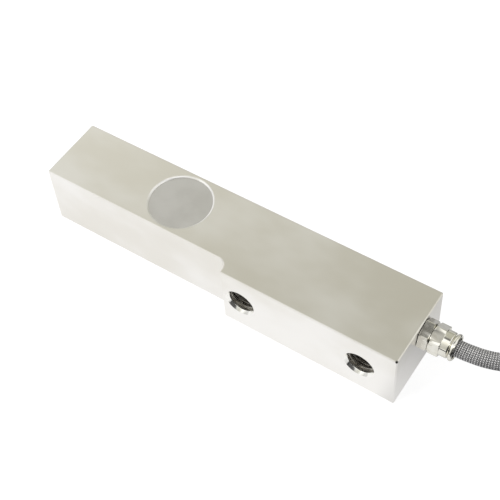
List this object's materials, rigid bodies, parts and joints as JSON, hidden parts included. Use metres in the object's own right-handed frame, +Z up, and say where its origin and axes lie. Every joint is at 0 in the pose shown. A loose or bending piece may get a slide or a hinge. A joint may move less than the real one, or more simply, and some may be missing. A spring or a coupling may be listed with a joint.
{
  "type": "beam load cell",
  "caption": "Square single ended shear beam load cell with a stepped tapped mounting pad, a sealed gauge pocket, a hexagonal cable gland and a braided cable folded into a tied hank.",
  "frame": {"origin": "centre of the beam and gland's footprint, on the plane that the beam's side lies on", "axes": "+X along the beam towards the cable end, -Y out of the mounting pad, +Z up out of the gauge pocket"},
  "size_m": [0.5044, 0.0751, 0.0387],
  "materials": {
    "beam": "satin nickel plated alloy steel",
    "cover": "satin stainless sheet",
    "gland": "bright nickel plated brass",
    "seal": "black rubber",
    "gauge": "foil gauge on amber film",
    "board": "green circuit board",
    "resistor": "black chip resistors",
    "terminal": "cream plastic",
    "post": "turned brass",
    "wire": "tinned copper",
    "red_insulation": "red insulation",
    "black_insulation": "black insulation",
    "green_insulation": "green insulation",
    "white_insulation": "white insulation",
    "jacket": "black inner jacket",
    "braid": "dark woven braid with pale flecks",
    "tie": "black nylon",
    "shrink": "black heat shrink"
  },
  "bodies": {
    "root": {"beam_body": "beam", "top_cover_disc": "cover", "bottom_cover_disc": "cover", "top_shear_gauge": "gauge", "bottom_shear_gauge": "gauge", "board_posts": "post", "circuit_board": "board", "trim_resistors": "resistor", "terminal_strip": "terminal", "gauge_wires": "wire", "web_link": "wire", "red_lead": "red_insulation", "black_lead": "black_insulation", "green_lead": "green_insulation", "white_lead": "white_insulation", "gland_seal": "seal", "gland_body": "gland", "gland_bush": "seal", "gland_washer": "gland", "gland_nut": "gland", "braid_ferrule": "gland", "inner_jacket": "jacket", "cable_run": "braid", "cable_hank": "braid", "near_tie": "tie", "end_tie": "tie", "end_sleeve": "shrink", "red_tail": "red_insulation", "black_tail": "black_insulation", "green_tail": "green_insulation", "white_tail": "white_insulation", "shield_tail": "wire", "tail_tips": "wire"}
  },
  "joints": []
}
